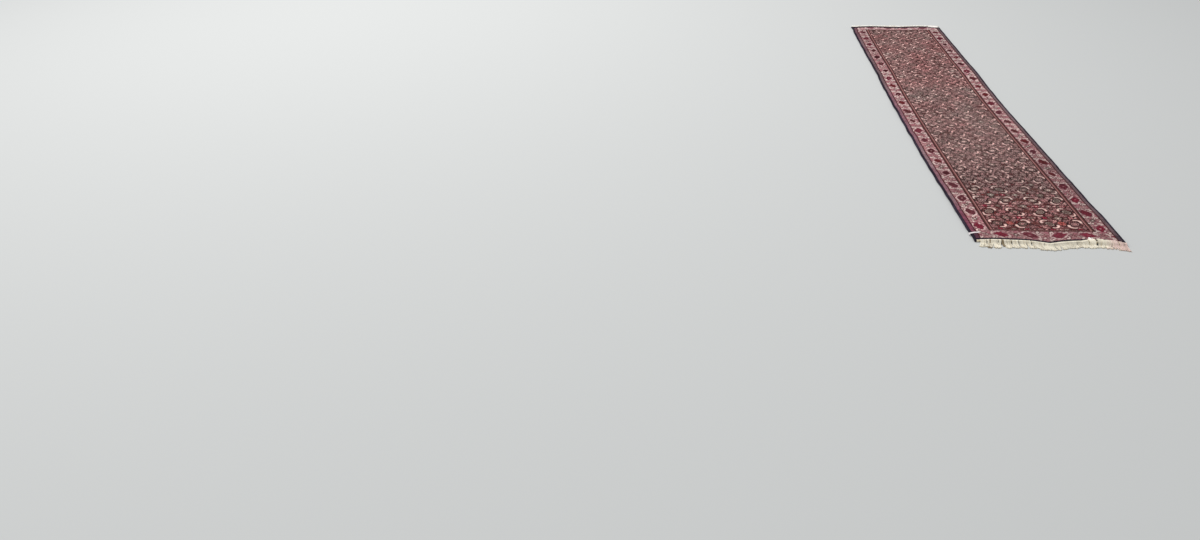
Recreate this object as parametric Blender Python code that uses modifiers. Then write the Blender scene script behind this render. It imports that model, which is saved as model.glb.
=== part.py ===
"""Hand-knotted runner rug lying flat: woven ground, banded pile, wrapped edges, end weaves and fringes.

Metres, +Z up. The origin is on the floor under the middle of the rug, +X runs across it and +Y along it.
"""
import math

import bpy

# Driving dimensions of the rug as it lies.
WIDTH = 0.618            # over the two wrapped edges
LENGTH = 3.130           # over the two end weaves, without the fringes
FRINGE = 0.074           # longest tassel, from the end weave
THICKNESS = 0.010        # floor to the top of the pile
GROUND = 0.0028          # woven ground under the pile
GAP = 0.0003             # clearance between pieces that touch

# The rug isn't quite straight: its middle lies to one side of its ends, and its ends are wavy.
BOW = 0.0155
END_WAVE = 0.006
END_WAVE_LENGTH = 0.340

# Bands of the design, outwards from the middle of the rug.
FIELD_HALF = 0.200
INNER_GUARD = 0.020
MAIN_BORDER = 0.058
SIDE_EDGE_BAND = 0.008   # the outer guard fills what is left, out to the wrapped edge
SELVEDGE_RADIUS = 0.0045
SELVEDGE_CORE_RADIUS = 0.0027
WRAP_WALL = 0.0014

# The same bands at the two ends, inwards from the end weave.
END_WEAVE = 0.007
END_WEAVE_THICKNESS = 0.008
END_EDGE_BAND = 0.012
END_BORDER = 0.072
END_GUARD = 0.014

# Fringe: a knotted root strip with tassels.
TASSELS = 50
ROOT_STRIP = 0.009
FRINGE_THICKNESS = 0.0050
TASSEL_SHARE = 0.80      # part of the tassel pitch that a tassel fills
SHORTEST_TASSEL = 0.80   # of the longest

# Tassels that are folded back onto the pile, and the tape that is tied round one edge.
FOLDED_LENGTH = 0.034
FOLDED_THICKNESS = 0.003
FOLDED_NEAR_X = 0.174
FOLDED_NEAR_WIDTH = 0.014
FOLDED_FAR_X = 0.262
FOLDED_FAR_WIDTH = 0.044
TAPE_Y = -1.488
TAPE_WIDTH = 0.010
TAPE_REACH = 0.046
TAPE_THICKNESS = 0.0008

# Half sizes of the bands, from the middle.
GUARD_HALF = FIELD_HALF + INNER_GUARD
BORDER_HALF = GUARD_HALF + MAIN_BORDER
EDGE_BAND_HALF = BORDER_HALF + SIDE_EDGE_BAND
PILE_HALF = WIDTH / 2 - 2 * SELVEDGE_RADIUS - GAP
SELVEDGE_X = WIDTH / 2 - SELVEDGE_RADIUS
WEAVE_END = LENGTH / 2
PILE_END = WEAVE_END - END_WEAVE
EDGE_END = PILE_END - END_EDGE_BAND
BORDER_END = EDGE_END - END_BORDER
FIELD_END = BORDER_END - END_GUARD

STEPS_ALONG = 28         # points along a long side
STEPS_ACROSS = 24        # points along an end

COLLECTION = "runner_rug"


def clear_scene():
    for obj in list(bpy.data.objects):
        bpy.data.objects.remove(obj, do_unlink=True)


def new_collection():
    collection = bpy.data.collections.new(COLLECTION)
    bpy.context.scene.collection.children.link(collection)
    return collection


def new_material(name, colour, roughness):
    """A matt textile material."""
    material = bpy.data.materials.new(name)
    material.use_nodes = True
    shader = material.node_tree.nodes["Principled BSDF"]
    shader.inputs["Base Color"].default_value = (*colour, 1.0)
    shader.inputs["Roughness"].default_value = roughness
    shader.inputs["Metallic"].default_value = 0.0
    return material


def bow(y):
    """Sideways shift of the rug at this distance along it, even about zero."""
    return BOW * (0.5 - math.cos(math.pi * y / LENGTH) ** 2)


def end_wave(x, y):
    """Lengthways shift, nothing inside the border and fullest at the rug's ends."""
    share = min(max((abs(y) - BORDER_END) / (EDGE_END - BORDER_END), 0.0), 1.0)
    return math.copysign(share, y) * END_WAVE * math.cos(2 * math.pi * x / END_WAVE_LENGTH)


def laid(x, y):
    """Where a point of the straight rug lies."""
    return x + bow(y), y + end_wave(x, y)


def steps(start, end, count):
    return [start + (end - start) * i / count for i in range(count + 1)]


def slab(name, outline, bottom, top, material, collection):
    """A closed solid from a flat outline, between two heights."""
    curve = bpy.data.curves.new(name, "CURVE")
    curve.dimensions = "2D"
    curve.fill_mode = "BOTH"
    curve.extrude = (top - bottom) / 2
    spline = curve.splines.new("POLY")
    spline.points.add(len(outline) - 1)
    for point, (x, y) in zip(spline.points, outline):
        point.co = (x, y, 0.0, 1.0)
    spline.use_cyclic_u = True
    curve.materials.append(material)
    obj = bpy.data.objects.new(name, curve)
    obj.location.z = (bottom + top) / 2
    collection.objects.link(obj)
    return obj


def strip_outline(x0, x1, y0, y1):
    """Outline of the straight rectangle between these limits, as it lies."""
    along = STEPS_ALONG if y1 - y0 > 1.0 else 2
    across = STEPS_ACROSS if x1 - x0 > 0.3 else 2
    points = [(x, y0) for x in steps(x0, x1, across)]
    points += [(x1, y) for y in steps(y0, y1, along)[1:]]
    points += [(x, y1) for x in steps(x1, x0, across)[1:]]
    points += [(x0, y) for y in steps(y1, y0, along)[1:-1]]
    return [laid(x, y) for x, y in points]


def pile_band(name, x0, x1, y0, y1, material, collection):
    """A band of pile on the ground, held half a gap inside its limits."""
    inset = GAP / 2
    outline = strip_outline(x0 + inset, x1 - inset, y0 + inset, y1 - inset)
    return slab(name, outline, GROUND + GAP, THICKNESS, material, collection)


def side_bands(label, inner, outer, end, material, collection):
    """A band down each long side."""
    pile_band(label + "_left", -outer, -inner, -end, end, material, collection)
    pile_band(label + "_right", inner, outer, -end, end, material, collection)


def end_bands(label, half_width, inner, outer, material, collection):
    """A band across each end."""
    pile_band(label + "_near", -half_width, half_width, -outer, -inner, material, collection)
    pile_band(label + "_far", -half_width, half_width, inner, outer, material, collection)


def edge_path(x):
    """Points down one long side, for a cord at this distance from the middle."""
    end = WEAVE_END - GAP
    return [laid(x, y) for y in steps(-end, end, STEPS_ALONG)]


def edge_tube(name, side, radius, material, collection, hollow=False):
    """A round cord along one long side, or the open sleeve round it."""
    points = edge_path(side * SELVEDGE_X)
    curve = bpy.data.curves.new(name, "CURVE")
    curve.dimensions = "3D"
    curve.bevel_depth = radius
    curve.bevel_resolution = 2
    curve.use_fill_caps = not hollow
    spline = curve.splines.new("POLY")
    spline.points.add(len(points) - 1)
    for point, (x, y) in zip(spline.points, points):
        point.co = (x, y, SELVEDGE_RADIUS, 1.0)
    curve.materials.append(material)
    obj = bpy.data.objects.new(name, curve)
    collection.objects.link(obj)
    if hollow:
        wall = obj.modifiers.new("wall", "SOLIDIFY")
        wall.thickness = WRAP_WALL
        wall.offset = -1.0
    return obj


def tassel_length(index):
    """Tassels differ a little in length, with no two neighbours alike."""
    spread = 0.5 + 0.5 * math.sin(2.4 * index + 1.3 * math.sin(0.7 * index))
    return FRINGE * (SHORTEST_TASSEL + (1.0 - SHORTEST_TASSEL) * spread)


def tassel_lean(index):
    """Sideways reach of a tassel's tip."""
    return 0.004 * math.sin(0.9 * index + 0.6)


def fringe(name, side, material, collection):
    """A root strip with a row of tassels, as one comb."""
    half_width = WIDTH / 2 - GAP
    pitch = 2 * half_width / TASSELS
    half_tassel = TASSEL_SHARE * pitch / 2
    inner = WEAVE_END + GAP
    root = inner + ROOT_STRIP
    comb = []
    for i in range(TASSELS):
        x = -half_width + (i + 0.5) * pitch
        tip = WEAVE_END + tassel_length(i)
        tip_x = x + tassel_lean(i)
        comb.append((x - half_tassel, root))
        comb.append((tip_x - 0.7 * half_tassel, tip))
        comb.append((tip_x + 0.7 * half_tassel, tip))
        comb.append((x + half_tassel, root))
    back = [(x, inner) for x in steps(half_width, -half_width, STEPS_ACROSS)]
    corners = [(-half_width, root)] + comb + [(half_width, root)] + back
    outline = [laid(x, side * y) for x, y in corners]
    return slab(name, outline, 0.0, FRINGE_THICKNESS, material, collection)


def folded_tassel(name, x, width, side, material, collection):
    """Tassels that have flipped over and lie on the pile at the end."""
    x0 = x - width / 2
    x1 = x + width / 2
    y0 = WEAVE_END - FOLDED_LENGTH
    corners = ((x0, y0), (x1, y0), (x1, WEAVE_END), (x0, WEAVE_END))
    outline = [laid(px, side * py) for px, py in corners]
    bottom = THICKNESS + GAP
    return slab(name, outline, bottom, bottom + FOLDED_THICKNESS, material, collection)


def edge_tape(name, material, collection):
    """A strip of tape over the left edge: along the pile, and down outside the wrapped edge."""
    outer = -WIDTH / 2 - GAP - TAPE_THICKNESS
    top = THICKNESS + GAP + TAPE_THICKNESS
    inner = outer + TAPE_REACH
    low = SELVEDGE_RADIUS
    profile = [
        (outer, low),
        (outer + TAPE_THICKNESS, low),
        (outer + TAPE_THICKNESS, top - TAPE_THICKNESS),
        (inner, top - TAPE_THICKNESS),
        (inner, top),
        (outer, top),
    ]
    tape = slab(name, profile, 0.0, TAPE_WIDTH, material, collection)
    tape.rotation_euler.x = math.pi / 2
    tape.location = (bow(TAPE_Y), TAPE_Y, 0.0)
    return tape


def build():
    clear_scene()
    rug = new_collection()

    cotton = new_material("cotton_ground", (0.72, 0.66, 0.54), 0.9)
    field_wool = new_material("field_wool", (0.24, 0.13, 0.12), 0.85)
    guard_wool = new_material("guard_wool", (0.11, 0.04, 0.04), 0.85)
    border_wool = new_material("border_wool", (0.45, 0.24, 0.23), 0.85)
    rose_wool = new_material("rose_wool", (0.30, 0.09, 0.14), 0.85)
    navy_wool = new_material("navy_wool", (0.02, 0.016, 0.03), 0.85)
    fringe_cotton = new_material("fringe_cotton", (0.80, 0.74, 0.60), 0.9)
    white_tape = new_material("white_tape", (0.80, 0.76, 0.76), 0.7)

    ground_half = PILE_HALF
    ground = strip_outline(-ground_half, ground_half, -PILE_END, PILE_END)
    slab("woven_ground", ground, 0.0, GROUND, cotton, rug)

    pile_band("field_pile", -FIELD_HALF, FIELD_HALF, -FIELD_END, FIELD_END, field_wool, rug)
    side_bands("inner_guard", FIELD_HALF, GUARD_HALF, FIELD_END, guard_wool, rug)
    end_bands("inner_guard", GUARD_HALF, FIELD_END, BORDER_END, guard_wool, rug)
    side_bands("main_border", GUARD_HALF, BORDER_HALF, BORDER_END, border_wool, rug)
    end_bands("main_border", BORDER_HALF, BORDER_END, EDGE_END, border_wool, rug)
    side_bands("edge_band", BORDER_HALF, EDGE_BAND_HALF, EDGE_END, navy_wool, rug)
    side_bands("outer_guard", EDGE_BAND_HALF, PILE_HALF, EDGE_END, rose_wool, rug)
    end_bands("edge_band", PILE_HALF, EDGE_END, PILE_END, navy_wool, rug)

    for label, side in (("near", -1), ("far", 1)):
        y0, y1 = sorted((side * (PILE_END + GAP), side * WEAVE_END))
        weave = strip_outline(-PILE_HALF, PILE_HALF, y0, y1)
        slab("end_weave_" + label, weave, 0.0, END_WEAVE_THICKNESS, cotton, rug)
        fringe("fringe_" + label, side, fringe_cotton, rug)

    for label, side in (("left", -1), ("right", 1)):
        edge_tube("selvedge_core_" + label, side, SELVEDGE_CORE_RADIUS, cotton, rug)
        edge_tube("selvedge_wrap_" + label, side, SELVEDGE_RADIUS, navy_wool, rug, hollow=True)

    folded_tassel("folded_tassel_near", FOLDED_NEAR_X, FOLDED_NEAR_WIDTH, -1, fringe_cotton, rug)
    folded_tassel("folded_tassel_far", FOLDED_FAR_X, FOLDED_FAR_WIDTH, 1, fringe_cotton, rug)
    edge_tape("edge_tape", white_tape, rug)


build()
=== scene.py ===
"""Looks of the hand-knotted runner rug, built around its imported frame.

The pile has one vertex for each knot, and takes its dyes from a knotting chart that is drawn by formula.
The fringe and the wrapped edges are made of yarns, and the end weaves have ribs. Long pieces are made in
four lengths.
"""
import math

import bpy
import numpy as np
from mathutils import Matrix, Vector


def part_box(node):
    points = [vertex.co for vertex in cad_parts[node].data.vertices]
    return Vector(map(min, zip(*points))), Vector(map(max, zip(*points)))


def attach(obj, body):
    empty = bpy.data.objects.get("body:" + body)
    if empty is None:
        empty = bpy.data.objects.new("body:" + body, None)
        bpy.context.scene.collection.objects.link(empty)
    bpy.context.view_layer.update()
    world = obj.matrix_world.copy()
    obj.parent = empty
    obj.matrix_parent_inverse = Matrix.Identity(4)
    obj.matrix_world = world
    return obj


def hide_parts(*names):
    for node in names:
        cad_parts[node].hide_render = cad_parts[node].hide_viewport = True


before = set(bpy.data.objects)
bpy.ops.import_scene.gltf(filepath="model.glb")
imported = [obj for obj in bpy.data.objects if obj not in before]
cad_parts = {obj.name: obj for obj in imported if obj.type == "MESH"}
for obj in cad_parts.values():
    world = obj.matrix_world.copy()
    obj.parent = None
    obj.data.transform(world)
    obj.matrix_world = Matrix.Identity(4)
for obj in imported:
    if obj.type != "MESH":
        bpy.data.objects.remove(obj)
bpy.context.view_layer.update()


def span(node, axis):
    """Size of a CAD node along one axis."""
    low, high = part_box(node)
    return high[axis] - low[axis]


# Sizes of the rug, in metres, as the frame has them. u runs across the straight rug and v along it.
PILE_HALF = span("end_weave_near", 0) / 2
BOW = span("woven_ground", 0) - 2 * PILE_HALF
FIELD_HALF = (span("field_pile", 0) - BOW) / 2
GUARD_HALF = span("inner_guard_near", 0) / 2
BORDER_HALF = span("main_border_near", 0) / 2
FIELD_END = span("field_pile", 1) / 2
BORDER_END = span("main_border_left", 1) / 2
SELVEDGE_RADIUS = span("selvedge_wrap_left", 2) / 2
SELVEDGE_U = PILE_HALF + SELVEDGE_RADIUS
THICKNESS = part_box("field_pile")[1][2]
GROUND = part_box("woven_ground")[1][2]
WEAVE_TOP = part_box("end_weave_near")[1][2]
END_BORDER = 0.072       # these three are the bands at each end, as in the CAD
END_LINE = 0.012
END_WEAVE = 0.007
EDGE_END = BORDER_END + END_BORDER
PILE_END = EDGE_END + END_LINE
WEAVE_END = PILE_END + END_WEAVE
LENGTH = 2 * WEAVE_END

# How the ends and sides lie, in metres.
NEAR_INSET = 0.006       # how far in the corners of the near end lie
NEAR_BULGE = 0.020       # how far the middle of the near end stands out from its corners
FAR_INSET = 0.008        # how far in the far end lies
RIPPLE_LENGTH = 0.340    # from crest to crest across each end
END_RIPPLE = 0.0045      # heights of the ripples and of the swell
SIDE_RIPPLE = 0.0018
SWELL = 0.0010

KNOT = 0.0025            # spacing of the knots both ways
TUFT = 0.0005            # how much the tufts differ in height, by chance and by dye
RIM_WIDTH = 0.005        # how far in the pile slopes down to its edges, and how deep
RIM_DROP = 0.0016
FLOOR_CLEARANCE = 0.0002
LENGTHS = 4              # lengths that the long pieces are made in
MM = 1000.0              # the chart is drawn in millimetres


# ---------- how the rug lies

def smooth(low, high, x):
    """A soft step from 0 at low to 1 at high. It falls instead where low is the greater."""
    t = np.clip((x - low) / (high - low), 0.0, 1.0)
    return t * t * (3.0 - 2.0 * t)


NOISE_CELLS = 512
TABLES = {}


def hashed(i, j, seed):
    """One value from 0 to 1 for each pair of whole numbers, the same each run."""
    if seed not in TABLES:
        TABLES[seed] = np.random.default_rng(seed).random((NOISE_CELLS, NOISE_CELLS))
    row, column = np.asarray(i).astype(int), np.asarray(j).astype(int)
    return TABLES[seed][row % NOISE_CELLS, column % NOISE_CELLS]


def noise(x, y, seed):
    """Smooth noise from 0 to 1, with cells one unit wide."""
    i, j = np.floor(x), np.floor(y)
    s, t = smooth(0, 1, x - i), smooth(0, 1, y - j)
    low = hashed(i, j, seed) * (1 - s) + hashed(i + 1, j, seed) * s
    high = hashed(i, j + 1, seed) * (1 - s) + hashed(i + 1, j + 1, seed) * s
    return low * (1 - t) + high * t


def bow(v):
    """Sideways shift of the rug, as in the frame."""
    return BOW * (0.5 - np.cos(np.pi * v / LENGTH) ** 2)


def bell(x, middle, width):
    """1 in the middle, falling to 0 over about twice the width."""
    return np.exp(-((x - middle) / width) ** 2)


def end_shift(u, v):
    """Lengthways shift near the ends: the near end bulges out, and the far end lies straight."""
    share = np.clip((np.abs(v) - BORDER_END) / END_BORDER, 0.0, 1.0)
    bulge = NEAR_BULGE * np.exp(-(np.abs(u) / 0.055) ** 1.3)
    bulge = bulge + 0.006 * smooth(0.20, 0.30, u) + 0.004 * bell(u, -0.15, 0.06)
    return share * np.where(v < 0, NEAR_INSET - bulge, -FAR_INSET)


def side_wander(u, v):
    """Sideways shift of each edge, a few millimetres here and there."""
    left = -0.005 * bell(v, -0.80, 0.42)
    left = left + 0.007 * smooth(-1.43, -1.53, v) + 0.004 * smooth(1.40, 1.52, v)
    left = left + 0.0036 * (noise(v / 0.075, 0 * v, 53) - 0.5)
    right = 0.006 * smooth(-1.16, -1.34, v) + 0.003 * bell(v, -0.50, 0.30)
    both = 0.0052 * bell(v, 0.58, 0.30)
    return both + left * smooth(-0.20, -0.29, u) + right * smooth(0.20, 0.29, u)


def lift(u, v):
    """How far the rug stands off the floor: ripples at its ends and slight ones along its sides."""
    crest = 0.5 - 0.5 * np.cos(2 * np.pi * u / RIPPLE_LENGTH)
    crest = crest * smooth(0.300, 0.235, np.abs(u)) * smooth(1.36, 1.56, np.abs(v))
    sides = smooth(0.14, 0.30, np.abs(u)) * smooth(0.55, 0.95, noise(v / 0.11, np.sign(u) * 5 + 9, 51))
    swell = smooth(0.5, 1.0, noise(u / 0.30 + 3, v / 0.37, 52))
    return END_RIPPLE * crest + SIDE_RIPPLE * sides + SWELL * swell


def lay(u, v, height):
    """World points for places on the straight rug."""
    u, v, height = np.broadcast_arrays(u, v, height)
    x = u + bow(v) + side_wander(u, v)
    return np.stack([x, v + end_shift(u, v), height + lift(u, v)], axis=-1)


# ---------- the knotting chart
# Places, sizes and wobbles in the chart are in millimetres, from the middle of the rug or of a motif.

COLUMN_PITCH = 110.5
ROW_PITCH = 111.5
FIRST_COLUMN = -1.5 * COLUMN_PITCH
FIRST_ROW = -1404.5
BETWEEN_COLUMNS = FIRST_COLUMN + COLUMN_PITCH / 2
BETWEEN_ROWS = FIRST_ROW + ROW_PITCH / 2
BUD_PITCH = COLUMN_PITCH / 5
BORDER_PITCH = 135.6
FIRST_PALMETTE = -1437.5
END_BORDER_PITCH = 120.0
GUARD_SHARE = 20.0 / 14.0   # the guard is 20 mm wide at the sides and 14 mm at the ends
ACROSS_ALL = 1000.0      # wider than any border, so that each side counts as one column
STRIPE_START = 283.5     # the stripe outside the border, on the long sides
STRIPE_END = 298.5
FAR_LINE_EXTRA = 21.0    # how much wider the navy line is at the far end


def dye(red, green, blue):
    """A colour as sRGB from 0 to 255."""
    return np.array([red, green, blue], float)


def mix(first, second, share):
    """A colour this share of the way from the first to the second."""
    return first + (second - first) * share


NIGHT = dye(20, 9, 12)
MAROON = dye(66, 21, 23)
BROWN = dye(108, 64, 60)
MAUVE = dye(160, 126, 124)
MADDER = dye(122, 52, 54)
ROSE = dye(186, 132, 132)
PINK = dye(188, 126, 132)
SALMON = dye(190, 104, 96)
CRIMSON = dye(156, 50, 72)
CREAM = dye(234, 212, 200)
BLUSH = dye(206, 162, 157)
TAUPE = dye(128, 110, 102)
SAGE = dye(154, 140, 130)
PLUM = dye(134, 106, 112)
RASPBERRY = dye(118, 62, 79)
WINE = dye(118, 64, 71)
NAVY = dye(34, 26, 40)
INK = mix(NIGHT, MAROON, 0.5)
DEEP_WINE = mix(MAROON, WINE, 0.3)
WORN = dye(152, 116, 113)          # what all the dyes fade towards
BORDER_MEAN = dye(162, 120, 120)   # what the border's contrast is measured from
BORDER_TINT = np.array([1.0, 0.962, 0.992])
GREY_LOT = np.array([1.02, 1.05, 1.05])
RED_LOT = np.array([1.02, 0.94, 0.95])
BUD_SHADES = (ROSE, MAUVE, BLUSH, MAUVE, ROSE, MADDER, BLUSH, TAUPE)
BORDER_BUD_SHADES = (BLUSH, PINK, CREAM, MAUVE, PINK, ROSE)


def put(colour, where, shade):
    """Ties knots of this dye where the mask says."""
    colour[where] = shade if np.ndim(shade) == 1 else shade[where]


def pick(choice, *shades):
    """A dye for each knot, from a value between 0 and 1."""
    index = np.minimum((choice * len(shades)).astype(int), len(shades) - 1)
    return np.array(shades)[index]


def cells(u, v, u0, v0, pitch_u, pitch_v, seed, wobble=3.0):
    """The nearest motif's column and row, and the place from its middle, slightly off true."""
    column, row = np.rint((u - u0) / pitch_u), np.rint((v - v0) / pitch_v)
    wobble_u = wobble * (hashed(column, row, seed) - 0.5)
    wobble_v = wobble * (hashed(column, row, seed + 1) - 0.5)
    grow = 1.0 + 0.12 * (hashed(column, row, seed + 2) - 0.5)
    a = (u - u0 - column * pitch_u - wobble_u) * grow
    b = (v - v0 - row * pitch_v - wobble_v) * grow
    return column, row, a, b


def hook(a, b, x, y, radius, start, sweep, fat, thin):
    """Distance outside a hooked leaf: an arc about (x, y), in degrees, from a round head to a thin tip."""
    start, sweep = math.radians(start), math.radians(sweep)
    a, b = a - x, b - y
    t = ((np.arctan2(b, a) - start + np.pi) % (2 * np.pi) - np.pi) / sweep
    share = np.clip(t, 0.0, 1.0)
    along = np.abs(np.hypot(a, b) - radius) - (thin + (fat - thin) * (1.0 - share) ** 1.3)
    end = start + sweep
    head = np.hypot(a - radius * math.cos(start), b - radius * math.sin(start)) - fat
    tip = np.hypot(a - radius * math.cos(end), b - radius * math.sin(end)) - thin
    return np.where((t >= 0) & (t <= 1), along, np.minimum(head, tip))


def flower(a, b, radius, lobe, petals, turn=0.0):
    """Distance outside a flower with this many petals."""
    return np.hypot(a, b) - radius - lobe * np.cos(petals * (np.arctan2(b, a) - turn))


def dots(a, b, x, y, radius):
    """Inside small dots placed alike in all four quarters of a motif."""
    return np.hypot(np.abs(a) - x, np.abs(b) - y) < radius


def buds(colour, u, v, seed, shades, edge):
    """Small slanting buds all over, in offset rows, that lean by turns to the right and to the left."""
    row = np.rint(v / BUD_PITCH)
    column, row, a, b = cells(u + BUD_PITCH / 2 * (row % 2), v, 0.0, 0.0, BUD_PITCH, BUD_PITCH, seed, 6.0)
    lean = np.where((column + row // 2) % 2 == 0, 1.0, -1.0)
    along, across = (a + lean * b) / 1.414, (b - lean * a) / 1.414
    curve = across - along ** 2 / 26.0
    inside = np.hypot(along / 9.4, curve / 4.7)
    put(colour, inside < 1.55, edge)
    put(colour, inside < 1.0, pick(hashed(column, row, seed + 5), *shades))


def vines(colour, u, v):
    """Diamonds of thin vine, and the scrolls that fill them."""
    column, row, a, b = cells(u, v, BETWEEN_COLUMNS, BETWEEN_ROWS, COLUMN_PITCH, ROW_PITCH, 11)
    diamond = (column + row) % 2 == 0
    ring = np.abs(np.abs(a) / COLUMN_PITCH + np.abs(b) / ROW_PITCH - 0.5) * 77.0
    put(colour, (ring < 4.0) & diamond, NIGHT)
    put(colour, (ring < 1.6) & diamond, ROSE)
    p, q = np.abs(a), np.abs(b)
    for x, y, start in ((26.0, 27.0, 200.0), (39.0, 17.0, 60.0), (15.0, 40.0, 240.0)):
        scroll = hook(p, q, x, y, 8.0, start, 200.0, 3.4, 1.6)
        put(colour, scroll < 2.2, INK)
        put(colour, scroll < 0, mix(MAUVE, ROSE, 0.5))


def rosettes(colour, u, v):
    """A rosette in each diamond, and a smaller one between diamonds."""
    column, row, a, b = cells(u, v, BETWEEN_COLUMNS, BETWEEN_ROWS, COLUMN_PITCH, ROW_PITCH, 11)
    choice = hashed(column, row, 14)
    size = np.where((column + row) % 2 == 0, 1.0, 0.75)
    outer = flower(a / size, b / size, 13.0, 1.8, 8)
    out = np.hypot(a, b) / size
    put(colour, outer < 3.4, NIGHT)
    put(colour, outer < 0, pick(choice, SAGE, MAUVE, TAUPE, ROSE, SAGE, MAUVE))
    put(colour, out < 8.0, pick(choice, NIGHT, MAROON, NIGHT, MAROON))
    put(colour, out < 4.8, pick(choice, CREAM, SAGE, CREAM, BLUSH))
    put(colour, dots(a, b, 19.0, 8.0, 3.4), NIGHT)
    put(colour, dots(a, b, 8.0, 21.0, 3.4), NIGHT)


def star_flowers(colour, u, v):
    """The flowers above and below each diamond. The first ones at the near end are salmon."""
    column, row, a, b = cells(u, v, BETWEEN_COLUMNS, FIRST_ROW + 5.0, COLUMN_PITCH, ROW_PITCH, 21)
    choice = hashed(column, row, 24)
    outer = flower(a, b, 12.5, 5.5, 8)
    out = np.hypot(a, b)
    first = ((row == 0) & (column % 2 == 0))[..., None]
    put(colour, outer < 2.8, NIGHT)
    put(colour, outer < 0, np.where(first, SALMON, pick(choice, ROSE, MAUVE, ROSE, MAUVE, BROWN)))
    put(colour, out < 6.0, np.where(first, MADDER, pick(choice, MADDER, MAROON, BROWN)))
    put(colour, out < 3.2, pick(choice, BLUSH, ROSE, NIGHT))
    put(colour, dots(a, b, 20.0, 13.0, 3.8), NIGHT)
    put(colour, dots(a, b, 7.0, 24.0, 3.6), NIGHT)


def small_flowers(colour, u, v):
    """The four-petalled flowers at the sides of each diamond, some of them crimson near the near end."""
    column, row, a, b = cells(u, v, FIRST_COLUMN, BETWEEN_ROWS, COLUMN_PITCH, ROW_PITCH, 31)
    choice = hashed(column, row, 34)
    crimson = ((choice > 0.6) & (row < 3))[..., None]
    outer = flower(a, b, 9.0, 3.6, 4, 0.785)
    put(colour, outer < 2.6, NIGHT)
    put(colour, outer < 0, np.where(crimson, CRIMSON, pick(choice, ROSE, MAUVE, MADDER, ROSE)))
    put(colour, np.hypot(a, b) < 3.4, pick(choice, MAROON, CREAM, NIGHT))
    put(colour, dots(a, b, 15.0, 10.0, 3.4), NIGHT)


def palmette(colour, a, b, choice, faded):
    """A slanting palmette of four rings, the outer one mauve where it has faded."""
    lean = math.radians(38)
    along = a * math.cos(lean) + b * math.sin(lean)
    across = b * math.cos(lean) - a * math.sin(lean)
    ripple = 1.0 + 0.06 * np.cos(9 * np.arctan2(across, along))
    inside = np.hypot(along / 18.5, across / 14.0) * ripple
    grey = pick(choice, TAUPE, SAGE, MAUVE, SAGE, TAUPE)
    put(colour, inside < 1.32, NIGHT)
    put(colour, inside < 1.0, mix(grey, MAUVE, 0.7 * faded[..., None]))
    put(colour, inside < 0.70, pick(choice, NIGHT, MAROON, NIGHT, NIGHT, BROWN))
    put(colour, inside < 0.46, pick(choice, BLUSH, SAGE, BLUSH, TAUPE, CREAM))
    put(colour, inside < 0.20, pick(choice, MAROON, NIGHT, NIGHT))


def leaf_and_bloom(colour, a, b, choice, later, faded):
    """A hooked leaf, a small flower and dots. later is 0 in the first row and 1 past it."""
    bloom = flower(a + 29.5, b - 27.0, 8.5, 2.2, 5)
    put(colour, bloom < 3.0, NIGHT)
    put(colour, bloom < 0, pick(choice, MAUVE, ROSE, MAUVE, BLUSH))
    put(colour, np.hypot(a + 29.5, b - 27.0) < 3.2, MAROON)
    fat = 6.7 - 1.0 * later - 1.2 * faded
    leaf = hook(a, b, 12.5, 17.5, 17.0, -12.0, 134.0, fat, 3.4)
    put(colour, leaf < 3.0, NIGHT)
    put(colour, leaf < 0, ROSE)
    put(colour, leaf < -0.9, mix(BLUSH, CREAM, (1.0 - 0.15 * later - 0.38 * faded)[..., None]))
    put(colour, np.hypot(a - 27.5, b - 19.0) < 5.0 * faded, mix(BLUSH, CREAM, 0.7))
    for x, y in ((41.0, -9.0), (18.0, 41.0)):
        out = np.hypot(a - x, b - y)
        put(colour, out < 5.6 * faded, INK)
        put(colour, out < 3.6 * faded, mix(BLUSH, CREAM, 0.6))
    put(colour, np.hypot(a + 27.0, b - 7.0) < 4.2, NIGHT)
    put(colour, np.hypot(a + 9.0, b - 27.0) < 3.8, NIGHT)


def leafed_palmettes(colour, u, v):
    """The palmettes, each between two hooked leaves and two small flowers, in mirror image by turns."""
    column, row, a, b = cells(u, v, FIRST_COLUMN, FIRST_ROW, COLUMN_PITCH, ROW_PITCH, 41)
    a = np.where((column + row) % 2 == 0, -a, a) + 1.5
    choice = hashed(column, row, 44)
    later, faded = np.clip(row, 0.0, 1.0), np.clip(0.3 * row - 0.3, 0.0, 1.0)
    palmette(colour, a, b, choice, faded)
    for turn in (1.0, -1.0):
        leaf_and_bloom(colour, turn * a, turn * b, choice, later, faded)


def abrash(colour, u, v):
    """The dye lots drift along the rug: redder near its ends, greyer in its middle."""
    redder = smooth(-900.0, -1430.0, v) + 0.45 * smooth(100.0, 700.0, v)
    redder = np.clip(redder + 0.5 * (noise(v / 190.0, 0 * v, 7) - 0.5), 0.0, 1.0)
    blotch = (noise(u / 80.0, v / 130.0, 9) - 0.5) * smooth(-700.0, -200.0, v)
    blotch = blotch + 0.06 * smooth(200.0, 1200.0, v)
    lot = mix(GREY_LOT, RED_LOT, (redder + 1.3 * blotch)[..., None])
    darker = 0.07 * bell(v, -1000.0, 170.0) + 0.05 * smooth(1150.0, 1300.0, v)
    return colour * lot * (1.0 - darker)[..., None]


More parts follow.
